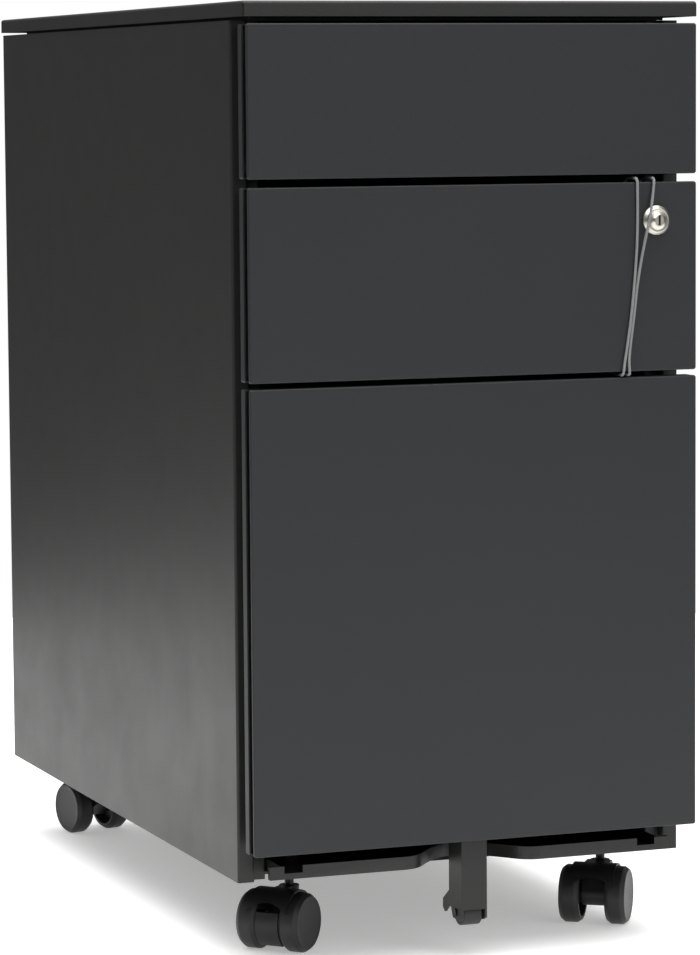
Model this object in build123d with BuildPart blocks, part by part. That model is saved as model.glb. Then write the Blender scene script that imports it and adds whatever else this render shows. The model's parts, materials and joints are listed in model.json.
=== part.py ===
from build123d import *
from math import cos, pi, radians, sin, tan
import os

# A slim steel mobile pedestal on casters: a folded carcass, two box drawers, a file drawer with an
# anti-tip leg, a cam lock with its lock bar, and a string looped over the middle drawer's front.
# Millimetres, +Z up, drawers open towards -Y, origin on the floor under the middle of the cabinet.

# ---------------------------------------------------------------- driving dimensions
width = 300.0
depth = 550.0
lock_reach = 6.0
sheet = 1.0
half = width / 2.0
y_face = -(depth - lock_reach) / 2.0

jamb_depth = 29.6
jamb_step = 10.0
back_depth = 548.6
side_bottom = 56.3
side_top = 588.6

top_bottom = 590.5
top_height = 9.5
top_overhang = 1.0
top_setback = 2.6
top_round = 2.0

front_bottom = {"top": 492.3, "middle": 368.7, "file": 77.3}
front_height = {"top": 94.0, "middle": 118.7, "file": 287.8}
face_half = 149.2
face_thickness = 2.2
face_round = 1.0
pan_half = 149.7
pan_lip = 8.3
pad_half = 112.0
pad_inset = 14.0
front_depth = 15.0

tray_half = 118.0
tray_end = 478.0
tray_bottom = {"top": 500.0, "middle": 377.0, "file": 84.0}
tray_top = {"top": 562.0, "middle": 447.0, "file": 300.0}
tray_rim = 7.0
tray_long = tray_end - front_depth

slide_level = {"top": 526.0, "middle": 408.0, "file": 150.0}
slide_start = 32.0
slide_length = 446.0
rail_sheet = 1.2
outer_rail = (119.5, 129.5, 18.0)
middle_rail = (119.0, 125.8, 14.4)
inner_rail = (118.0, 123.9, 10.8)

post_inner = 129.5
post_width = 28.0
post_starts = (56.0, 440.0)

base_front = 46.0
base_top = 60.0
base_pan = 2.7
rail_front = 12.0
rail_height = 8.5
rail_half = 135.2
rail_step = 16.0
rail_end = 54.0
recess_mouth = 47.0
recess_back = 44.5
notch_x = 119.6
notch_size = (12.0, 4.6)

leg_half = 8.6
leg_sheet = 1.5
roller_depth = 20.0
roller_level = 28.6
roller_radius = 8.4

lock_x = 121.0
lock_level = 463.4
bezel_radius = 9.3
barrel_radius = 8.0
barrel_end = 24.0
rotor_radius = 5.5
cam_radius = 5.5
pin_radius = 1.75
bar_depth = 49.0
bar_span = (96.0, 570.0)

wheel_radius = 19.0
wheel_width = 13.5
wheel_gap = 17.0
wheel_bevel = 2.6
trail = 15.0
stem_radius = 3.0
flange_radius = 8.0
axle_radius = 2.5
hub_radius = 7.5
arm_half = 8.2
braked_arm_half = 4.8
cover_inner = 19.4
cover_outer = 20.8
cover_half = 14.5
hood_top = 39.4
fit = 0.08
casters = {
    "front_left": (-94.0, 93.5, -137.0),
    "front_right": (124.0, 93.5, -125.0),
    "rear_left": (-94.0, 509.0, 103.0),
    "rear_right": (124.0, 509.0, 110.0),
}
string_diameter = 1.6

os.makedirs("parts", exist_ok=True)


# ---------------------------------------------------------------- helpers
def y_at(behind_faces):
    """Y of a plane this far behind the drawer faces."""
    return y_face + behind_faces


def block(x_span, depth_span, z_span, mode=Mode.ADD):
    """A box between two X values, two depths behind the drawer faces and two heights."""
    low = Vector(x_span[0], y_at(depth_span[0]), z_span[0])
    high = Vector(x_span[1], y_at(depth_span[1]), z_span[1])
    size = high - low
    with Locations((low + high) * 0.5):
        Box(size.X, size.Y, size.Z, mode=mode)


def both_sides(x_low, x_high):
    """One X span on the right and the same one mirrored to the left."""
    return ((x_low, x_high), (-x_high, -x_low))


def facing(behind_faces):
    """A vertical sketch plane parallel to the drawer faces; extruding goes towards the front."""
    return Plane(origin=(0, y_at(behind_faces), 0), x_dir=(1, 0, 0), z_dir=(0, -1, 0))


def save(builder, name):
    """Label a finished piece and write its STEP file."""
    builder.part.label = name
    export_step(builder.part, f"parts/{name}.step")


# ---------------------------------------------------------------- carcass
def side_panel():
    """Left side, one sheet: outer wall, stepped front jamb, rear flange, top and bottom flanges."""
    skin = -half + sheet / 2.0
    front = y_at(jamb_depth + sheet / 2.0)
    rear = y_at(back_depth - sheet / 2.0)
    with BuildPart() as panel:
        with BuildSketch(Plane.XY.offset(side_bottom)):
            with BuildLine():
                FilletPolyline(
                    (skin + 14.0, rear),
                    (skin, rear),
                    (skin, front),
                    (skin + jamb_step, front),
                    (skin + jamb_step, front + 7.0),
                    (skin + 2 * jamb_step - 0.5, front + 7.0),
                    (skin + 2 * jamb_step - 0.5, front + 15.0),
                    radius=1.2,
                )
            trace(line_width=sheet)
        extrude(amount=side_top - side_bottom)
        for level in (side_bottom, side_top - sheet):
            block((-half + 0.5, -half + 15.0), (jamb_depth + 18, back_depth - 16), (level, level + sheet))
    return panel


left_side = side_panel()
save(left_side, "left_side_panel")

with BuildPart() as right_side:
    add(left_side.part)
    mirror(about=Plane.YZ, mode=Mode.REPLACE)
save(right_side, "right_side_panel")

back_front = back_depth - 2.2
with BuildPart() as back_panel:
    block((-half + 1.5, half - 1.5), (back_front, back_depth - 1.1), (side_bottom + 1.2, side_top - 1.2))
    block((-half + 16, half - 16), (back_front - 12, back_front), (side_top - 2.4, side_top - 1.2))
save(back_panel, "back_panel")

with BuildPart() as top_panel:
    block(
        (-half - top_overhang, half + top_overhang),
        (top_setback, depth),
        (top_bottom, top_bottom + top_height),
    )
    fillet(top_panel.edges().filter_by(Axis.Z), radius=top_round)
    fillet(top_panel.faces().sort_by(Axis.Z)[-1].edges(), radius=top_round)
    offset(amount=-sheet, openings=top_panel.faces().sort_by(Axis.Z)[0])
    for x_span in both_sides(half - 0.1, half + 2.0):
        block(x_span, (0, top_setback + 1.2), (top_bottom + 1.8, top_bottom + 7.4), Mode.SUBTRACT)
save(top_panel, "top_panel")

with BuildPart() as top_frame:
    with BuildSketch(Plane.XY.offset(side_top)):
        with Locations((0, y_at((depth + top_setback) / 2.0))):
            Rectangle(width - 24, depth - 50)
            Rectangle(width - 28, depth - 54, mode=Mode.SUBTRACT)
    extrude(amount=top_bottom + top_height - sheet - side_top)
    with BuildSketch(Plane.XY.offset(side_top)):
        with Locations((0, y_at((depth + top_setback) / 2.0))):
            Rectangle(width - 24, depth - 50)
            Rectangle(width - 54, depth - 80, mode=Mode.SUBTRACT)
    extrude(amount=rail_sheet)
save(top_frame, "top_frame")

with BuildPart() as base_plate:
    block((-half + 1.2, half - 1.2), (base_front, back_front - 0.3), (base_top - base_pan, base_top))
    offset(amount=-rail_sheet, openings=base_plate.faces().sort_by(Axis.Z)[0])
    with BuildSketch(Plane.XY.offset(base_top)):
        with Locations(*[(x, y_at(back)) for x, back, _ in casters.values()]):
            Circle(stem_radius + 0.2)
    extrude(amount=-base_pan, mode=Mode.SUBTRACT)
save(base_plate, "base_plate")

with BuildPart() as front_rail:
    with BuildSketch(Plane.XY.offset(base_top)):
        with BuildLine():
            right_edge = Polyline(
                (recess_mouth, y_at(rail_front)),
                (rail_half, y_at(rail_front)),
                (rail_half, y_at(rail_step)),
                (128.3, y_at(rail_step)),
                (128.3, y_at(rail_end)),
                (-128.3, y_at(rail_end)),
                (-128.3, y_at(rail_step)),
                (-rail_half, y_at(rail_step)),
                (-rail_half, y_at(rail_front)),
                (-recess_mouth, y_at(rail_front)),
            )
            Spline(
                right_edge @ 1,
                (-28.0, y_at(24.0)),
                (0, y_at(recess_back)),
                (28.0, y_at(24.0)),
                right_edge @ 0,
                tangents=((1, 0), (1, 0)),
            )
        make_face()
    extrude(amount=rail_height)
    offset(
        amount=-rail_sheet,
        openings=[front_rail.faces().sort_by(Axis.Z)[-1], front_rail.faces().sort_by(Axis.Y)[-1]],
    )
    for x in (-notch_x, notch_x):
        block(
            (x - notch_size[0] / 2, x + notch_size[0] / 2),
            (rail_front - 1, rail_front + 3),
            (base_top + rail_height - notch_size[1], base_top + rail_height + 1),
            mode=Mode.SUBTRACT,
        )
save(front_rail, "front_base_rail")

with BuildPart() as rear_rail:
    block((-100, 100), (back_front - 13.5, back_front - 0.5), (base_top, base_top + 14))
    block((-101, 101), (back_front - 12.3, back_front - 1.7), (base_top + 1.2, base_top + 15), Mode.SUBTRACT)
save(rear_rail, "rear_base_rail")

for side, sign in (("left", -1), ("right", 1)):
    with BuildPart() as posts:
        for start in post_starts:
            spans = sorted((sign * post_inner, sign * (half - 1.1)))
            block(spans, (start, start + post_width), (base_top, side_top - 1.2))
            cavity = sorted((sign * (post_inner + rail_sheet), sign * half))
            block(cavity, (start + 1.2, start + post_width - 1.2), (base_top - 1, side_top), Mode.SUBTRACT)
    save(posts, f"{side}_slide_posts")

with BuildPart() as screws:
    with BuildSketch(facing(back_depth)):
        with Locations(*[(x, z) for x in (-143.0, 143.0) for z in (80.0, 240.0, 400.0, 560.0)]):
            Circle(3.4)
    extrude(amount=-1.4, taper=18)
save(screws, "back_panel_screws")


# ---------------------------------------------------------------- drawers and their slides
def rail_pair(profile, level, web_outside):
    """A pair of channel rails: profile is (inner X, outer X, half height)."""
    x_in, x_out, reach = profile
    span = (slide_start, slide_start + slide_length)
    with BuildPart() as rails:
        for x_span in both_sides(x_in, x_out):
            block(x_span, span, (level - reach, level + reach))
        if web_outside:
            hollows = both_sides(x_in - 1, x_out - rail_sheet)
        else:
            hollows = both_sides(x_in + rail_sheet, x_out + 1)
        for x_span in hollows:
            inner = reach - rail_sheet
            block(x_span, (span[0] - 1, span[1] + 1), (level - inner, level + inner), Mode.SUBTRACT)
    return rails


for name in ("top", "middle", "file"):
    low, tall = front_bottom[name], front_height[name]
    centre = low + tall / 2.0
    bottom, upper = tray_bottom[name], tray_top[name]
    level = slide_level[name]

    with BuildPart() as face:
        with BuildSketch(facing(face_thickness)):
            with Locations((0, centre)):
                Rectangle(2 * face_half, tall)
        extrude(amount=face_thickness)
        fillet(face.edges().filter_by(Axis.Y), radius=1.6)
        fillet(face.faces().sort_by(Axis.Y)[0].edges(), radius=face_round)
        if name == "middle":
            with BuildSketch(facing(face_thickness)):
                with Locations((lock_x, lock_level)):
                    Circle(barrel_radius + 0.2)
            extrude(amount=face_thickness, mode=Mode.SUBTRACT)
    save(face, f"{name}_drawer_face")

    with BuildPart() as pan:
        with BuildSketch(facing(front_depth)):
            with Locations((0, centre)):
                RectangleRounded(2 * pan_half, tall - 0.6, 1.2)
        extrude(amount=front_depth - pan_lip)
        offset(amount=-sheet, openings=pan.faces().sort_by(Axis.Y)[0])
        block((-pad_half, pad_half), (face_thickness, front_depth), (low + pad_inset, low + tall - pad_inset))
        block(
            (-pad_half + sheet, pad_half - sheet),
            (face_thickness + sheet, front_depth + sheet),
            (low + pad_inset + sheet, low + tall - pad_inset - sheet),
            mode=Mode.SUBTRACT,
        )
        if name == "middle":
            with BuildSketch(facing(front_depth)):
                with Locations((lock_x, lock_level)):
                    Circle(barrel_radius + 0.2)
            extrude(amount=front_depth, mode=Mode.SUBTRACT)
    save(pan, f"{name}_drawer_pan")

    with BuildPart() as tray:
        block((-tray_half, tray_half), (front_depth, tray_end), (bottom, upper))
        fillet(tray.edges().filter_by(Axis.Z).group_by(Axis.Y)[-1], radius=3.0)
        offset(amount=-sheet, openings=tray.faces().sort_by(Axis.Z)[-1])
        with BuildSketch(Plane.XY.offset(upper)):
            with Locations((0, y_at((front_depth + tray_end) / 2.0))):
                Rectangle(2 * tray_half - 1, tray_long - 1)
                Rectangle(2 * (tray_half - tray_rim), tray_long - 2 * tray_rim, mode=Mode.SUBTRACT)
        extrude(amount=-sheet)
    save(tray, f"{name}_drawer_tray")

    save(rail_pair(outer_rail, level, True), f"{name}_drawer_outer_rails")
    save(rail_pair(middle_rail, level, True), f"{name}_drawer_middle_rails")
    save(rail_pair(inner_rail, level, False), f"{name}_drawer_inner_rails")

with BuildPart() as hanging_rails:
    for start in (24.0, 424.0):
        block((-115, 115), (start, start + 9), (tray_top["file"], tray_top["file"] + 1.5))
        block((-115, 115), (start, start + 1.5), (tray_top["file"] + 1.5, tray_top["file"] + 13))
save(hanging_rails, "hanging_file_rails")

# ---------------------------------------------------------------- anti-tip leg
leg_plane = Plane(origin=(0, 0, 0), x_dir=(0, 1, 0), z_dir=(1, 0, 0))
with BuildPart() as leg:
    with BuildSketch(leg_plane):
        with BuildLine():
            FilletPolyline(
                (y_at(9.5), front_bottom["file"] - 0.1),
                (y_at(9.5), 26.0),
                (y_at(14.0), 24.0),
                (y_at(25.0), 24.5),
                (y_at(28.0), 31.0),
                (y_at(32.0), 30.5),
                (y_at(38.5), 25.5),
                (y_at(42.0), 28.5),
                (y_at(41.5), 34.0),
                (y_at(31.3), 41.0),
                (y_at(31.3), tray_bottom["file"]),
                (y_at(front_depth + 0.4), tray_bottom["file"]),
                (y_at(front_depth + 0.4), front_bottom["file"] - 0.1),
                radius=0.6,
                close=True,
            )
        make_face()
    extrude(amount=leg_half, both=True)
    block((-leg_half + leg_sheet, leg_half - leg_sheet), (9.5 + leg_sheet, 60), (0, 82.5), Mode.SUBTRACT)
    block((-leg_half + leg_sheet, leg_half - leg_sheet), (9.0, 12.0), (0, 31.5), Mode.SUBTRACT)
    with BuildSketch(leg_plane):
        with Locations((y_at(roller_depth), roller_level)):
            Circle(axle_radius)
    extrude(amount=leg_half, both=True, mode=Mode.SUBTRACT)
save(leg, "anti_tip_leg")

with BuildPart() as roller:
    with BuildSketch(Plane(origin=(-leg_half + 2.0, 0, 0), x_dir=(0, 1, 0), z_dir=(1, 0, 0))):
        with Locations((y_at(roller_depth), roller_level)):
            Circle(roller_radius)
            Circle(axle_radius + fit, mode=Mode.SUBTRACT)
    extrude(amount=2 * leg_half - 4.0)
    fillet(roller.edges().filter_by(GeomType.CIRCLE).group_by(SortBy.RADIUS)[-1], radius=1.2)
save(roller, "anti_tip_roller")

with BuildPart() as roller_axle:
    with BuildSketch(Plane(origin=(-leg_half - 1.0, 0, 0), x_dir=(0, 1, 0), z_dir=(1, 0, 0))):
        with Locations((y_at(roller_depth), roller_level)):
            Circle(axle_radius)
    extrude(amount=2 * leg_half + 2.0)
save(roller_axle, "anti_tip_axle")

# ---------------------------------------------------------------- lock
lock_axis = Axis((lock_x, 0, lock_level), (0, 1, 0))
profile_plane = Plane(origin=(lock_x, 0, lock_level), x_dir=(1, 0, 0), z_dir=(0, 0, 1))

with BuildPart() as housing:
    with BuildSketch(profile_plane):
        with BuildLine():
            Polyline(
                (rotor_radius + fit, y_at(-3.6)),
                (7.4, y_at(-3.6)),
                (bezel_radius, y_at(-1.6)),
                (bezel_radius, y_at(0)),
                (barrel_radius, y_at(0)),
                (barrel_radius, y_at(barrel_end)),
                (rotor_radius + fit, y_at(barrel_end)),
                close=True,
            )
        make_face()
    revolve(axis=lock_axis)
save(housing, "lock_housing")

with BuildPart() as rotor:
    with BuildSketch(profile_plane):
        with BuildLine():
            dome = Polyline(
                (6.9, y_at(-3.7)),
                (rotor_radius, y_at(-3.7)),
                (rotor_radius, y_at(barrel_end + 4.0)),
                (0, y_at(barrel_end + 4.0)),
                (0, y_at(-lock_reach)),
                (3.0, y_at(-lock_reach)),
            )
            RadiusArc(dome @ 1, dome @ 0, 4.6)
        make_face()
    revolve(axis=lock_axis)
    with BuildSketch(facing(-lock_reach - 1)):
        with Locations((lock_x, lock_level)):
            SlotOverall(6.6, 1.5, rotation=90)
    extrude(amount=-10.0, mode=Mode.SUBTRACT)
save(rotor, "lock_rotor")

with BuildPart() as cam:
    with BuildSketch(facing(barrel_end + 6.0)):
        with Locations((lock_x, lock_level)):
            Circle(rotor_radius)
        with Locations((lock_x, lock_level - cam_radius / 2)):
            Rectangle(2 * pin_radius, cam_radius)
        with Locations((lock_x, lock_level - cam_radius)):
            Circle(pin_radius)
    extrude(amount=2.0)
    with BuildSketch(facing(bar_depth + 4.0)):
        with Locations((lock_x, lock_level - cam_radius)):
            Circle(pin_radius)
    extrude(amount=bar_depth + 4.0 - barrel_end - 5.0)
save(cam, "lock_cam")

with BuildPart() as lock_nut:
    with BuildSketch(facing(front_depth + 3.0)):
        with Locations((lock_x, lock_level)):
            RegularPolygon(10.4, 6)
            Circle(barrel_radius, mode=Mode.SUBTRACT)
    extrude(amount=3.0)
save(lock_nut, "lock_nut")

with BuildPart() as lock_bar:
    block((132.0, 144.0), (bar_depth, bar_depth + 2.0), bar_span)
    window_low = lock_level - cam_radius - pin_radius - 1.6
    window_high = lock_level - cam_radius + pin_radius + 1.6
    block((113.0, 132.5), (bar_depth, bar_depth + 2.0), (window_low - 3.0, window_high + 3.5))
    block((117.4, 129.8), (bar_depth - 1, bar_depth + 3), (window_low, window_high), Mode.SUBTRACT)
    for level in slide_level.values():
        catch = level + 24.0
        block((130.8, 132.5), (bar_depth, bar_depth + 2.0), (catch, catch + 10.0))
save(lock_bar, "lock_bar")

with BuildPart() as guides:
    for level in (104.0, 330.0, 540.0):
        block((144.6, half - 1.1), (bar_depth - 2.0, bar_depth + 4.0), (level, level + 12))
        for span in ((bar_depth - 2.0, bar_depth - 0.6), (bar_depth + 2.6, bar_depth + 4.0)):
            block((140.0, 145.0), span, (level, level + 12))
save(guides, "lock_bar_guides")


# ---------------------------------------------------------------- casters
def caster_frame(spot):
    """Where one caster's wheels stand: centre point, trail direction and axle direction."""
    x, back, heading = spot
    ahead = Vector(cos(radians(heading)), sin(radians(heading)), 0)
    centre = Vector(x, y_at(back), wheel_radius) + ahead * trail
    return centre, ahead, Vector(0, 0, 1).cross(ahead)


def hood(spot, arm):
    """Black shell of one caster: boss round the stem, arm down to the axle, cover over the wheels."""
    centre, ahead, across = caster_frame(spot)
    side_view = Plane(origin=centre, x_dir=ahead, z_dir=ahead.cross(Vector(0, 0, 1)))
    with BuildPart() as shell:
        with BuildSketch(side_view):
            Circle(hub_radius)
            with BuildLine():
                Polyline((-4, -6), (-20.6, 4), (-20.6, 14), (-14, 20.4), (-2, 20.4), (6.5, 3.5), close=True)
            make_face()
        extrude(amount=arm, both=True)
        with BuildSketch(side_view):
            with BuildLine():
                over = CenterArc((0, 0), cover_outer, 24, 126)
                under = CenterArc((0, 0), cover_inner, 24, 126)
                Line(over @ 0, under @ 0)
                Line(over @ 1, under @ 1)
            make_face()
        extrude(amount=cover_half, both=True)
        with BuildSketch(Plane(origin=centre + ahead * 9.0, x_dir=across, z_dir=ahead)):
            with Locations((0, -5.3)):
                Circle(19.3)
        extrude(amount=trail, mode=Mode.SUBTRACT)
        with BuildSketch(Plane.XY.offset(24.0)):
            with Locations(centre - ahead * trail):
                Circle(6.4)
        extrude(amount=hood_top - 24.0)
        with BuildSketch(Plane.XY.offset(26.0)):
            with Locations(centre - ahead * trail):
                Circle(stem_radius + fit)
        extrude(amount=20.0, mode=Mode.SUBTRACT)
        with BuildSketch(side_view):
            Circle(axle_radius)
        extrude(amount=20, both=True, mode=Mode.SUBTRACT)
    return shell


def wheel(spot, side):
    """One wheel: rounded tread, plain outer disc, hollow inner side with a hub; side is -1 or 1."""
    centre, ahead, across = caster_frame(spot)
    section = Plane(origin=centre, x_dir=across * side, z_dir=(across * side).cross(Vector(0, 0, 1)))
    inside = wheel_gap / 2.0
    outside = inside + wheel_width
    with BuildPart() as disc:
        with BuildSketch(section):
            with BuildLine():
                FilletPolyline(
                    (inside, axle_radius + fit),
                    (inside, 6.0),
                    (inside + 7.0, 6.0),
                    (inside + 7.0, wheel_radius - 4.5),
                    (inside, wheel_radius - 4.0),
                    (inside, wheel_radius - wheel_bevel),
                    (inside + wheel_bevel, wheel_radius),
                    (outside - wheel_bevel, wheel_radius),
                    (outside, wheel_radius - wheel_bevel),
                    (outside - 0.6, 0.0),
                    radius=0.5,
                )
                Polyline(
                    (outside - 0.6, 0.0),
                    (outside - 3.2, 0.0),
                    (outside - 3.2, axle_radius + fit),
                    (inside, axle_radius + fit),
                )
            make_face()
        revolve(axis=Axis(centre, across))
    return disc


def tilted(radius, angle):
    """A point on a circle, in a sketch plane's own axes."""
    return (radius * cos(radians(angle)), radius * sin(radians(angle)))


for name, spot in casters.items():
    centre, ahead, across = caster_frame(spot)
    save(hood(spot, braked_arm_half if name == "front_left" else arm_half), f"{name}_caster_hood")
    with BuildPart() as axle:
        with BuildSketch(Plane(origin=centre, x_dir=ahead, z_dir=across)):
            Circle(axle_radius)
        extrude(amount=wheel_gap / 2.0 + wheel_width - 3.6, both=True)
    save(axle, f"{name}_caster_axle")
    save(wheel(spot, 1), f"{name}_right_wheel")
    save(wheel(spot, -1), f"{name}_left_wheel")

with BuildPart() as brake:
    centre, ahead, across = caster_frame(casters["front_left"])
    lever_view = Plane(origin=centre, x_dir=ahead, z_dir=ahead.cross(Vector(0, 0, 1)))
    with BuildSketch(lever_view):
        with BuildLine():
            rim_out = CenterArc((0, 0), 17.6, -58, 84)
            rim_in = CenterArc((0, 0), 14.0, -58, 84)
            Line(rim_out @ 0, rim_in @ 0)
            Line(rim_out @ 1, rim_in @ 1)
        make_face()
    extrude(amount=arm_half, both=True)
    for cheek in (5.1, -6.2):
        with BuildSketch(lever_view.offset(cheek)):
            Circle(5.0)
            with BuildLine():
                Polyline((0, 5), (0, -5), tilted(17.0, -56), tilted(17.0, 24), close=True)
            make_face()
            Circle(axle_radius + fit, mode=Mode.SUBTRACT)
        extrude(amount=1.1)
save(brake, "front_left_brake_lever")

with BuildPart() as stems:
    for x, back, _ in casters.values():
        with BuildSketch(Plane.XY.offset(28.0)):
            with Locations((x, y_at(back))):
                Circle(stem_radius)
        extrude(amount=40.0)
        with BuildSketch(Plane.XY.offset(base_top - 3.6)):
            with Locations((x, y_at(back))):
                Circle(flange_radius)
        extrude(amount=2.4)
save(stems, "caster_stems")

with BuildPart() as nuts:
    with BuildSketch(Plane.XY.offset(base_top)):
        with Locations(*[(x, y_at(back)) for x, back, _ in casters.values()]):
            RegularPolygon(7.5, 6)
            Circle(stem_radius, mode=Mode.SUBTRACT)
    extrude(amount=6.0)
save(nuts, "caster_nuts")

# ---------------------------------------------------------------- string over the middle drawer's front
# Both ends are tucked in behind the front pan. The doubled string comes over the front's top edge,
# runs down it, one strand over the rim of the lock, and turns back behind the bottom edge.
string_route = [
    (97.0, 19.4, 452.0),
    (98.4, 18.8, 464.5),
    (101.6, 18.2, 476.0),
    (105.8, 17.4, 484.6),
    (107.2, 14.2, 489.6),
    (107.5, 4.6, 489.9),
    (107.6, -1.7, 489.8),
    (107.9, -1.3, 483.0),
    (108.0, -1.3, 470.5),
    (107.7, -1.3, 449.0),
    (106.4, -1.3, 425.5),
    (104.0, -1.3, 402.0),
    (101.2, -1.3, 385.0),
    (98.8, -1.3, 374.8),
    (98.0, -1.7, 366.7),
    (98.1, 3.8, 366.5),
    (97.7, 13.4, 366.8),
    (97.2, 18.4, 368.0),
    (100.2, 21.4, 369.4),
    (103.2, 18.4, 368.0),
    (102.8, 13.4, 366.8),
    (102.4, 3.8, 366.5),
    (102.6, -1.7, 366.7),
    (102.9, -1.3, 374.8),
    (103.8, -1.3, 385.0),
    (106.3, -1.3, 402.0),
    (108.7, -1.4, 426.0),
    (111.4, -3.2, 447.5),
    (114.2, -5.7, 463.6),
    (116.7, -3.6, 473.4),
    (118.5, -1.8, 482.0),
    (119.4, -1.7, 489.8),
    (119.2, 4.6, 489.9),
    (118.4, 14.2, 489.6),
    (115.4, 17.6, 485.4),
    (110.2, 18.7, 479.8),
    (105.2, 19.8, 471.0),
    (102.2, 20.4, 460.0),
]
points = [Vector(x, y_at(behind), z) for x, behind, z in string_route]
corners = []
for before, here, after in zip(points, points[1:], points[2:]):
    turn = radians((here - before).get_angle(after - here))
    shorter = min((here - before).length, (after - here).length)
    corners.append(0.45 * shorter / tan(turn / 2.0))

with BuildPart() as string:
    with BuildLine() as route:
        FilletPolyline(*points, radius=corners)
    with BuildSketch(Plane(origin=route.line @ 0, z_dir=route.line % 0)):
        Circle(string_diameter / 2.0)
    sweep()
save(string, "key_string")

string_length = sum(edge.length for edge in route.edges())
straight_volume = pi * (string_diameter / 2.0) ** 2 * string_length
print("string corner radii", [round(corner, 1) for corner in corners])
print("string length", round(string_length, 1))
print("string volume over section times length", round(string.part.volume / straight_volume, 4))
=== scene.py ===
"""Looks of a slim steel mobile pedestal: powder-coated carcass and drawer fronts, nickel lock,
zinc slides, black nylon casters and a grey string over the middle drawer's front.

Everything is in metres in the part's own frame: +Z up, drawers open towards -Y.
"""
import json
import math

import bmesh
import bpy
import numpy as np
from mathutils import Matrix, Vector


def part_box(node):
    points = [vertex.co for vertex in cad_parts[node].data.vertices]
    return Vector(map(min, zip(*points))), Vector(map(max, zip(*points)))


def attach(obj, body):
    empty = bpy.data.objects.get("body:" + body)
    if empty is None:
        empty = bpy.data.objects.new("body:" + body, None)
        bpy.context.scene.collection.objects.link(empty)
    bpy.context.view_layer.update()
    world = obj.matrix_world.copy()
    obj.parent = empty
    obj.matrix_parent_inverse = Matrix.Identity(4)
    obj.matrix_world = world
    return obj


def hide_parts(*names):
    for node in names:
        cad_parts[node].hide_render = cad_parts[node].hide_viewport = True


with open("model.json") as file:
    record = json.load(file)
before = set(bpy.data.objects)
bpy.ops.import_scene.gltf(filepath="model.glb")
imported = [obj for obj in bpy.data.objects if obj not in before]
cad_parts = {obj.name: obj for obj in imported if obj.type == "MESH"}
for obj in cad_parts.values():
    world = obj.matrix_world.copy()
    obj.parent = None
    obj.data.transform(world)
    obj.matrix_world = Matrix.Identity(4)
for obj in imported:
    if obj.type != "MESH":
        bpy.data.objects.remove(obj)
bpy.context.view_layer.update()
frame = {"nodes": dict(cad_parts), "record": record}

MILLIMETRE = 0.001
FULL_TURN = 2.0 * np.pi
UPWARD = np.array([0.0, 0.0, 1.0])
FACE_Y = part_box("file_drawer_face")[0][1]
TOP_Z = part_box("top_panel")[1][2]
CASTERS = ("front_left", "front_right", "rear_left", "rear_right")
SLOT_OF = {part["node"]: part["material_slot"] for part in frame["record"]["subparts"]}
BODY_OF = {node: body for body, nodes in frame["record"]["behaviour"]["bodies"].items() for node in nodes}


# ---------------------------------------------------------------- shader helpers
class Socket:
    """A node socket whose arithmetic adds Math nodes to its tree."""

    def __init__(self, owner, socket):
        self.owner = owner
        self.socket = socket

    def math(self, operation, value):
        return self.owner.node("ShaderNodeMath", {"operation": operation}, {0: self, 1: value})

    def __add__(self, other):
        return self.math("ADD", other)

    def __mul__(self, other):
        return self.math("MULTIPLY", other)

    __radd__ = __add__
    __rmul__ = __mul__

    def between(self, low, high, bottom=0.0, top=1.0):
        """The bottom value below low, the top value above high, and straight between them."""
        inputs = {"Value": self, "From Min": low, "From Max": high, "To Min": bottom, "To Max": top}
        return self.owner.node("ShaderNodeMapRange", {"clamp": True}, inputs)


class Nodes:
    """A node tree that is filled by one method."""

    def __init__(self, tree):
        self.tree = tree

    def node(self, kind, settings=None, inputs=None, output=0):
        """Adds a node: settings first, then the values or links of its sockets."""
        made = self.tree.nodes.new(kind)
        for key, value in (settings or {}).items():
            setattr(made, key, value)
        for key, value in (inputs or {}).items():
            self.feed(made.inputs[key], value)
        return Socket(self, made.outputs[output])

    def feed(self, target, value):
        if isinstance(value, Socket):
            self.tree.links.new(value.socket, target)
        else:
            target.default_value = value


class Shader(Nodes):
    """A material with one Principled shader and the nodes that feed it."""

    def __init__(self, name):
        self.material = bpy.data.materials.new(name)
        self.material.use_nodes = True
        super().__init__(self.material.node_tree)

    def place(self):
        return self.node("ShaderNodeTexCoord", output="Object")

    def stretched(self, scale):
        return self.node("ShaderNodeMapping", inputs={"Vector": self.place(), "Scale": scale})

    def noise(self, scale, detail=3.0, rough=0.55, vector=None):
        inputs = {"Vector": vector or self.place(), "Scale": scale, "Detail": detail, "Roughness": rough}
        return self.node("ShaderNodeTexNoise", inputs=inputs)

    def cells(self, scale):
        return self.node("ShaderNodeTexVoronoi", inputs={"Vector": self.place(), "Scale": scale})

    def mix(self, factor, first, second):
        inputs = {"Factor": factor, 6: first, 7: second}
        return self.node("ShaderNodeMix", {"data_type": "RGBA"}, inputs, output=2)

    def bump(self, height, strength, distance):
        inputs = {"Height": height, "Strength": strength, "Distance": distance}
        return self.node("ShaderNodeBump", inputs=inputs)

    def finish(self, **sockets):
        """Feeds the Principled sockets; underscores in the names stand for spaces."""
        principled = self.tree.nodes["Principled BSDF"]
        for key, value in sockets.items():
            self.feed(principled.inputs[key.replace("_", " ")], value)
        return self.material


def rgb(tone, gain=1.0):
    """A tone as an opaque colour, made lighter by the gain."""
    return (*[value * gain for value in tone], 1.0)


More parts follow.
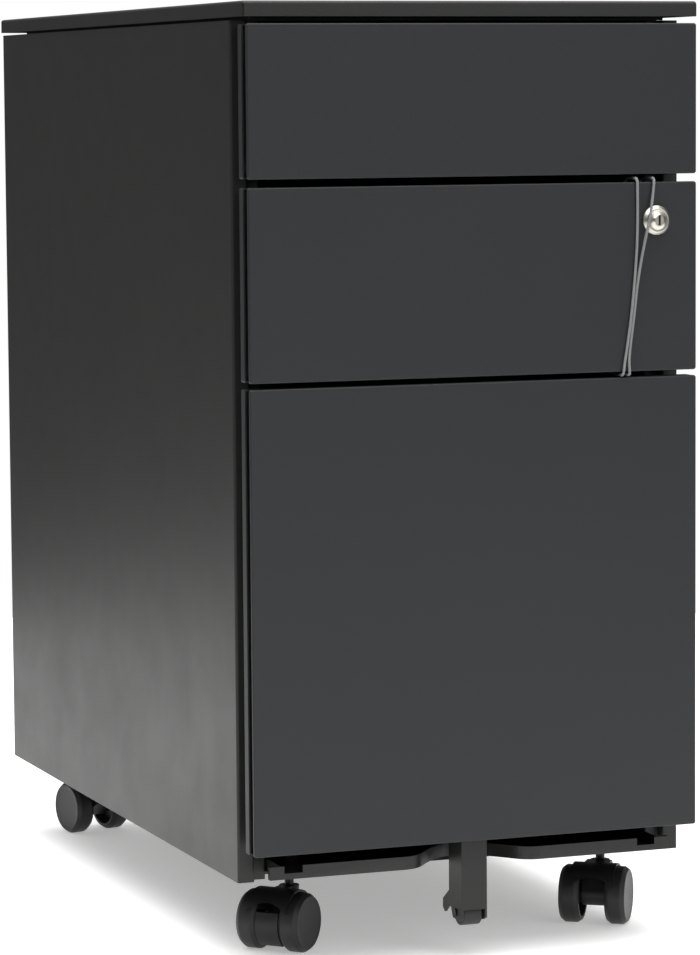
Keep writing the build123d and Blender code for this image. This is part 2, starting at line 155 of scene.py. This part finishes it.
# ---------------------------------------------------------------- finishes
# Pattern scales, in features per metre.
CLOUD_SCALE = 7.0
DULLING_SCALE = 23.0
PEEL_SCALE = 1700.0
COARSE_PEEL_SCALE = PEEL_SCALE * 0.33
FLECK_SCALE = PEEL_SCALE * 1.6
SPANGLE_SCALE = 160.0
TARNISH_SCALE = 260.0
NYLON_GRAIN_SCALE = 1500.0
RUBBED_SCALE = 70.0
PAPER_TOOTH_SCALE = 90.0
ROLLING_STREAKS = (900.0, 14.0, 900.0)
TURNING_HAIRLINES = (2200.0, 90.0, 2200.0)
PLY_FIBRES = (5200.0, 5200.0, 1300.0)

FLECK_GAIN = 1.9
RUBBED_GAIN = 2.1
SATIN_IOR = 1.36

CARCASS_BLACK, CARCASS_SHEEN = (0.0165, 0.0158, 0.0156), (0.0195, 0.0182, 0.0175)
FRONT_BLACK, FRONT_SHEEN = (0.0165, 0.0172, 0.0187), (0.0192, 0.0198, 0.0210)
TRAY_BLACK, TRAY_SHEEN = (0.016, 0.016, 0.017), (0.019, 0.019, 0.020)
ZINC_BRIGHT, ZINC_GREY = (0.62, 0.63, 0.64), (0.48, 0.49, 0.5)
NICKEL_BRIGHT, NICKEL_CLOUDED = (0.55, 0.53, 0.475), (0.40, 0.38, 0.335)
STRING_SHADE, STRING_LIGHT = (0.17, 0.175, 0.175), (0.30, 0.305, 0.305)
PAPER_WHITE, PAPER_OFF_WHITE = (0.9, 0.9, 0.895), (0.86, 0.86, 0.86)
MOULDED_BLACK = (0.012, 0.012, 0.0125)
WHEEL_BLACK = (0.019, 0.0188, 0.0188)
STUDIO_WHITE = (1.0, 1.0, 1.0)


def powder_coat(name, tone, sheen_tone, rough):
    """Baked polyester powder: fine orange peel, faint cloudiness and a few pin-sharp flecks."""
    coat = Shader(name)
    cloud = coat.noise(CLOUD_SCALE, detail=4.0)
    fine_peel = coat.noise(PEEL_SCALE, detail=2.0, rough=0.5)
    coarse_peel = coat.noise(COARSE_PEEL_SCALE, detail=1.0)
    fleck = coat.cells(FLECK_SCALE)
    dull = coat.noise(DULLING_SCALE, detail=5.0).between(0.25, 0.75)
    clouded = coat.mix(0.4 * cloud.between(0.2, 0.8), rgb(tone), rgb(sheen_tone))
    flecked = coat.mix(0.18 * fleck.between(0.12, 0.05), clouded, rgb(tone, FLECK_GAIN))
    normal = coat.bump(fine_peel + 0.8 * coarse_peel, strength=0.16, distance=0.0004)
    return coat.finish(Base_Color=flecked, Roughness=rough + 0.07 * dull, IOR=SATIN_IOR, Normal=normal)


def zinc_plate(name):
    """Bright zinc on cold-rolled strip: streaks along the rolling direction and a soft spangle."""
    metal = Shader(name)
    streak = metal.noise(1.0, detail=5.0, vector=metal.stretched(ROLLING_STREAKS))
    spangle = metal.cells(SPANGLE_SCALE)
    tint = metal.mix(0.5 * spangle.between(0.1, 0.7), rgb(ZINC_BRIGHT), rgb(ZINC_GREY))
    normal = metal.bump(streak, strength=0.12, distance=0.0003)
    return metal.finish(Base_Color=tint, Metallic=1.0, Roughness=0.22 + 0.16 * streak, Normal=normal)


def nickel_plate(name):
    """Polished nickel with hairline turning marks and slightly clouded patches."""
    metal = Shader(name)
    cloud = metal.noise(TARNISH_SCALE, detail=4.0)
    hair = metal.noise(1.0, detail=3.0, vector=metal.stretched(TURNING_HAIRLINES))
    tint = metal.mix(0.5 * cloud.between(0.35, 0.7), rgb(NICKEL_BRIGHT), rgb(NICKEL_CLOUDED))
    normal = metal.bump(hair, strength=0.1, distance=0.0002)
    return metal.finish(Base_Color=tint, Metallic=1.0, Roughness=0.24 + 0.2 * cloud, Normal=normal)


def moulded_nylon(name, tone, rough):
    """Black glass-filled nylon: spark-eroded grain, paler rubbed spots."""
    plastic = Shader(name)
    grain = plastic.noise(NYLON_GRAIN_SCALE, detail=2.0)
    rubbed = plastic.noise(RUBBED_SCALE, detail=5.0, rough=0.65).between(0.52, 0.78)
    colour = plastic.mix(0.35 * rubbed, rgb(tone), rgb(tone, RUBBED_GAIN))
    normal = plastic.bump(grain, strength=0.22, distance=0.0004)
    return plastic.finish(Base_Color=colour, Roughness=rough + 0.1 * rubbed, IOR=SATIN_IOR, Normal=normal)


def spun_string(name):
    """Loose grey cotton: fibres along each ply, fuzz in the roughness."""
    yarn = Shader(name)
    fibre = yarn.noise(1.0, detail=4.0, vector=yarn.stretched(PLY_FIBRES))
    colour = yarn.mix(fibre.between(0.3, 0.75), rgb(STRING_SHADE), rgb(STRING_LIGHT))
    normal = yarn.bump(fibre, strength=0.5, distance=0.0003)
    return yarn.finish(Base_Color=colour, Roughness=0.78 + 0.1 * fibre, Normal=normal)


def floor_paper(name):
    """White background paper with a faint tooth, lifted a little by its own light."""
    paper = Shader(name)
    tooth = paper.noise(PAPER_TOOTH_SCALE, detail=3.0)
    colour = paper.mix(0.3 * tooth, rgb(PAPER_WHITE), rgb(PAPER_OFF_WHITE))
    return paper.finish(Base_Color=colour, Roughness=0.85, Emission_Color=colour, Emission_Strength=0.4)


FINISHES = {
    "carcass_paint": powder_coat("carcass_paint", CARCASS_BLACK, CARCASS_SHEEN, 0.36),
    "front_paint": powder_coat("front_paint", FRONT_BLACK, FRONT_SHEEN, 0.46),
    "tray_paint": powder_coat("tray_paint", TRAY_BLACK, TRAY_SHEEN, 0.42),
    "zinc": zinc_plate("zinc"),
    "nickel": nickel_plate("nickel"),
    "black_plastic": moulded_nylon("black_plastic", MOULDED_BLACK, 0.42),
    "wheel_plastic": moulded_nylon("wheel_plastic", WHEEL_BLACK, 0.42),
    "black_steel": moulded_nylon("black_steel", MOULDED_BLACK, 0.3),
    "string": spun_string("string"),
}

for node, shape in frame["nodes"].items():
    for held in shape.material_slots:
        held.material = FINISHES[SLOT_OF[node]]


# ---------------------------------------------------------------- mesh helpers
MERGE_GAP = 0.000002
FLAT_ANGLE = math.radians(0.4)
SHARP_ANGLE = math.radians(35.0)
BEVEL_STEPS = 2
FINE_BEVEL = 0.0003
MOULDED_BEVEL = 0.0005


def new_piece(name, points, faces, finish):
    """A smooth-shaded mesh object made of points and faces."""
    mesh = bpy.data.meshes.new(name)
    mesh.from_pydata(points, [], faces)
    mesh.shade_smooth()
    mesh.materials.append(finish)
    piece = bpy.data.objects.new(name, mesh)
    bpy.context.collection.objects.link(piece)
    return piece


def turned_surface(name, points, finish):
    """A grid of points, shaped (rows, columns, 3), whose every row runs round and closes on itself."""
    rows, columns = points.shape[:2]
    index = np.arange(rows * columns).reshape(rows, columns)
    index = np.hstack([index, index[:, :1]])
    faces = np.stack([index[:-1, :-1], index[1:, :-1], index[1:, 1:], index[:-1, 1:]], axis=-1)
    return new_piece(name, points.reshape(-1, 3).tolist(), faces.reshape(-1, 4).tolist(), finish)


def capped_tubes(name, sheets, finish):
    """Several closed tubes in one mesh; each sheet of points is (along, around, 3) and gets two end caps."""
    points, faces, start = [], [], 0
    for sheet in sheets:
        rows, columns = sheet.shape[:2]
        index = start + np.arange(rows * columns).reshape(rows, columns)
        index = np.hstack([index, index[:, :1]])
        quads = np.stack([index[:-1, :-1], index[:-1, 1:], index[1:, 1:], index[1:, :-1]], axis=-1)
        faces += quads.reshape(-1, 4).tolist()
        faces += [index[0, :-1][::-1].tolist(), index[-1, :-1].tolist()]
        points += sheet.reshape(-1, 3).tolist()
        start += rows * columns
    return new_piece(name, points, faces, finish)


def softened(node, bevel):
    """A merged copy of a CAD node with its sharp edges rounded over; it stands for the node."""
    mesh = frame["nodes"][node].data.copy()
    piece = bpy.data.objects.new(node + "_soft", mesh)
    bpy.context.collection.objects.link(piece)
    work = bmesh.new()
    work.from_mesh(mesh)
    bmesh.ops.remove_doubles(work, verts=work.verts, dist=MERGE_GAP)
    bmesh.ops.dissolve_limit(work, angle_limit=FLAT_ANGLE, verts=work.verts, edges=work.edges)
    work.to_mesh(mesh)
    work.free()
    mesh.shade_smooth()
    mesh.set_sharp_from_angle(angle=SHARP_ANGLE)
    rounder = piece.modifiers.new("edge", "BEVEL")
    rounder.width = bevel
    rounder.segments = BEVEL_STEPS
    rounder.limit_method = "ANGLE"
    rounder.angle_limit = SHARP_ANGLE
    rounder.harden_normals = True
    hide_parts(node)
    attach(piece, BODY_OF[node])


# ---------------------------------------------------------------- string over the middle drawer's front
# Millimetres: X, depth behind the drawer faces, height.
STRING_ROUTE = np.array([
    (97.0, 19.4, 452.0), (98.4, 18.8, 464.5), (101.6, 18.2, 476.0), (105.8, 17.4, 484.6),
    (107.2, 14.2, 489.6), (107.5, 4.6, 489.9), (107.6, -1.7, 489.8), (107.9, -1.3, 483.0),
    (108.0, -1.3, 470.5), (107.7, -1.3, 449.0), (106.0, -1.3, 425.5), (103.5, -1.3, 402.0),
    (100.9, -1.3, 385.0), (99.2, -1.3, 374.8), (98.0, -1.7, 366.7), (98.1, 3.8, 366.5),
    (97.7, 13.4, 366.8), (97.2, 18.4, 368.0), (100.2, 21.4, 369.4), (103.2, 18.4, 368.0),
    (102.8, 13.4, 366.8), (102.4, 3.8, 366.5), (102.6, -1.7, 366.7), (101.9, -1.3, 374.8),
    (102.9, -1.3, 385.0), (105.3, -1.3, 402.0), (108.0, -1.4, 426.0), (111.4, -3.2, 447.5),
    (114.2, -5.7, 463.6), (116.7, -3.6, 473.4), (118.5, -1.8, 482.0), (119.4, -1.7, 489.8),
    (119.2, 4.6, 489.9), (118.4, 14.2, 489.6), (115.4, 17.6, 485.4), (110.2, 18.7, 479.8),
    (105.2, 19.8, 471.0), (102.2, 20.4, 460.0),
])
ROUTE_RESOLUTION = 24
ROUTE_STEP = 0.0004
PLIES = 3
PLY_SIDES = 10
PLY_PITCH = 0.0056
PLY_OFFSET = 0.00046
PLY_RADIUS = 0.00050


def smooth_route(route):
    """The route's NURBS line, read back as even points, and how far along it each point is."""
    placed = route * MILLIMETRE + np.array([0.0, FACE_Y, 0.0])
    data = bpy.data.curves.new("route", "CURVE")
    data.dimensions = "3D"
    data.resolution_u = ROUTE_RESOLUTION
    spline = data.splines.new("NURBS")
    spline.points.add(len(placed) - 1)
    spline.points.foreach_set("co", np.hstack([placed, np.ones((len(placed), 1))]).ravel())
    spline.order_u = 3
    spline.use_endpoint_u = True
    holder = bpy.data.objects.new("route", data)
    line = bpy.data.meshes.new_from_object(holder)
    points = np.empty(len(line.vertices) * 3)
    line.vertices.foreach_get("co", points)
    bpy.data.objects.remove(holder)
    bpy.data.meshes.remove(line)
    points = points.reshape(-1, 3)
    travelled = np.concatenate([[0.0], np.cumsum(np.linalg.norm(np.diff(points, axis=0), axis=1))])
    even = np.linspace(0.0, travelled[-1], int(travelled[-1] / ROUTE_STEP))
    return np.stack([np.interp(even, travelled, points[:, axis]) for axis in range(3)], axis=1), even


def frames_along(points):
    """Two unit vectors across the line at each point, carried along it without twist."""
    tangent = np.gradient(points, axis=0)
    tangent /= np.linalg.norm(tangent, axis=1)[:, None]
    across = np.empty_like(tangent)
    guess = np.cross(tangent[0], (0.0, 1.0, 0.0))
    for row, direction in enumerate(tangent):
        guess = guess - direction * guess.dot(direction)
        guess /= np.linalg.norm(guess)
        across[row] = guess
    return across, np.cross(tangent, across)


def make_string():
    """Three plies: each ply's centre circles the line once per pitch, and the ply is a tube round it."""
    line, travelled = smooth_route(STRING_ROUTE)
    across, over = frames_along(line)
    around = np.linspace(0.0, FULL_TURN, PLY_SIDES, endpoint=False)
    sheets = []
    for number in range(PLIES):
        turn = FULL_TURN * (travelled / PLY_PITCH + number / PLIES)
        outward = across * np.cos(turn)[:, None] + over * np.sin(turn)[:, None]
        beside = over * np.cos(turn)[:, None] - across * np.sin(turn)[:, None]
        middle = line + outward * PLY_OFFSET
        ring = outward[:, None] * np.cos(around)[:, None] + beside[:, None] * np.sin(around)[:, None]
        sheets.append(middle[:, None] + ring * PLY_RADIUS)
    piece = capped_tubes("key_string_plies", sheets, FINISHES["string"])
    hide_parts("key_string")
    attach(piece, "middle_drawer")


# ---------------------------------------------------------------- caster wheels
WHEEL_SIDES = 96
WHEEL_INNER_FACE = 0.0085
WHEEL_CREASE = math.radians(40.0)


def arc(centre, radius, start, end, count):
    """Points on a circle's arc, angles in degrees, in the section's own axes."""
    angle = np.radians(np.linspace(start, end, count))
    return np.stack([centre[0] + radius * np.cos(angle), centre[1] + radius * np.sin(angle)], axis=1)


def wheel_section():
    """Half section of a wheel in millimetres: outward distance from its inner face, radius."""
    return np.vstack([
        [(0.0, 2.7), (0.0, 5.6), (0.4, 6.0), (7.0, 6.0), (7.0, 14.4)],
        [(0.4, 14.9), (0.0, 15.3)],
        arc((1.2, 16.5), 1.2, 175.0, 140.0, 4),
        arc((3.2, 17.8), 1.2, 140.0, 95.0, 5),
        [(5.0, 19.0), (9.0, 19.0)],
        arc((10.3, 17.8), 1.2, 85.0, 40.0, 5),
        arc((12.3, 16.4), 1.2, 40.0, 5.0, 4),
        [(13.45, 15.8), (13.3, 15.2), (13.2, 13.8)],
        [(13.0, 9.0), (12.9, 4.0), (12.86, 0.05)],
    ])


def make_wheels():
    """Each wheel is its section turned about the axle: radius times a unit circle, plus the axle offset."""
    around = np.linspace(0.0, FULL_TURN, WHEEL_SIDES, endpoint=False)
    section = wheel_section() * MILLIMETRE
    for joint in frame["record"]["behaviour"]["joints"]:
        if not joint["name"].endswith("_wheel_spin") or "anti_tip" in joint["name"]:
            continue
        node = joint["name"].replace("_spin", "")
        outward = np.array(joint["axis"]) * (-1.0 if "left_wheel" in node else 1.0)
        ahead = np.cross(UPWARD, outward)
        centre = np.array(joint["pos_m"])
        ring = UPWARD[None] * np.cos(around)[:, None] + ahead[None] * np.sin(around)[:, None]
        reach = centre + outward * (section[:, :1] + WHEEL_INNER_FACE)
        points = reach[:, None] + ring[None] * section[:, 1][:, None, None]
        piece = turned_surface(node + "_turned", points, FINISHES["wheel_plastic"])
        piece.data.set_sharp_from_angle(angle=WHEEL_CREASE)
        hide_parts(node)
        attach(piece, BODY_OF[node])


# ---------------------------------------------------------------- stage, lights and camera
FLOOR_RADII = np.array([0.0001, 0.3, 0.6, 0.9, 1.2, 1.45])
FLOOR_SIDES = 96

# The studio's brightness climbs from dim to full between these heights of the direction looked in.
DIM_HEIGHT, BRIGHT_HEIGHT = 0.15, 0.8
DIM_STRENGTH, BRIGHT_STRENGTH = 0.11, 0.9

# Name, place, target, width and depth, power in watts.
LAMPS = (
    ("overhead", (-0.2, -0.5, 2.6), (0.0, 0.0, 0.0), (3.0, 3.0), 115.0),
    ("front", (0.9, -2.6, 1.3), (0.0, -0.2, 0.3), (1.6, 1.4), 14.0),
)

CAMERA_PLACE = (-0.911, FACE_Y - 2.2268, TOP_Z - 0.0599)
CAMERA_YAW = math.radians(20.353)
CAMERA_PITCH = math.radians(5.546)
CAMERA_ROLL = math.radians(-0.436)
CAMERA_LENS = 146.7
SENSOR_HEIGHT = 36.0


def make_stage():
    """A pale floor disc: rings of points round the middle, each a radius times a unit circle."""
    angle = np.linspace(0.0, FULL_TURN, FLOOR_SIDES, endpoint=False)
    radius = FLOOR_RADII[:, None]
    level = np.zeros((len(FLOOR_RADII), FLOOR_SIDES))
    flat = np.stack([radius * np.cos(angle), radius * np.sin(angle), level], axis=-1)
    floor = turned_surface("floor", flat, floor_paper("floor_paper"))


def make_studio():
    """A studio that is white to look at; its light is dim from the sides and full from above."""
    world = bpy.data.worlds.new("studio")
    bpy.context.scene.world = world
    world.use_nodes = True
    studio = Nodes(world.node_tree)
    facing = studio.node("ShaderNodeTexCoord", output="Generated")
    height = studio.node("ShaderNodeSeparateXYZ", inputs={"Vector": facing}, output="Z")
    climb = height.between(DIM_HEIGHT, BRIGHT_HEIGHT, DIM_STRENGTH, BRIGHT_STRENGTH)
    looked_at = studio.node("ShaderNodeLightPath", output="Is Camera Ray")
    background = world.node_tree.nodes["Background"]
    studio.feed(background.inputs["Strength"], climb.math("MAXIMUM", looked_at))
    studio.feed(background.inputs["Color"], rgb(STUDIO_WHITE))
    bpy.context.scene.view_settings.view_transform = "Standard"


def make_lamp(name, place, target, size, power):
    """A soft rectangular lamp aimed at a point."""
    lamp = bpy.data.lights.new(name, "AREA")
    lamp.shape = "RECTANGLE"
    lamp.size, lamp.size_y = size
    lamp.energy = power
    holder = bpy.data.objects.new(name, lamp)
    holder.location = place
    holder.rotation_euler = (Vector(target) - Vector(place)).to_track_quat("-Z", "Y").to_euler()
    bpy.context.collection.objects.link(holder)


def make_camera():
    """A long lens just under the height of the top panel, off to the left and looking slightly down."""
    yaw, pitch, roll = CAMERA_YAW, CAMERA_PITCH, CAMERA_ROLL
    forward = Vector((math.sin(yaw) * math.cos(pitch), math.cos(yaw) * math.cos(pitch), -math.sin(pitch)))
    side = Vector((math.cos(yaw), -math.sin(yaw), 0.0))
    above = side.cross(forward)
    right = side * math.cos(roll) + above * math.sin(roll)
    up = above * math.cos(roll) - side * math.sin(roll)
    camera = bpy.data.cameras.new("camera")
    camera.sensor_fit = "VERTICAL"
    camera.sensor_height = SENSOR_HEIGHT
    camera.lens = CAMERA_LENS
    holder = bpy.data.objects.new("camera", camera)
    turn = Matrix((right, up, -forward)).transposed().to_4x4()
    holder.matrix_world = Matrix.Translation(CAMERA_PLACE) @ turn
    bpy.context.collection.objects.link(holder)
    bpy.context.scene.camera = holder


make_stage()
make_studio()
make_camera()
for lamp_facts in LAMPS:
    make_lamp(*lamp_facts)

make_string()
make_wheels()
for node in ("front_base_rail", "anti_tip_leg", "front_left_brake_lever", "lock_rotor", "lock_housing"):
    softened(node, FINE_BEVEL)
for caster in CASTERS:
    softened(f"{caster}_caster_hood", MOULDED_BEVEL)
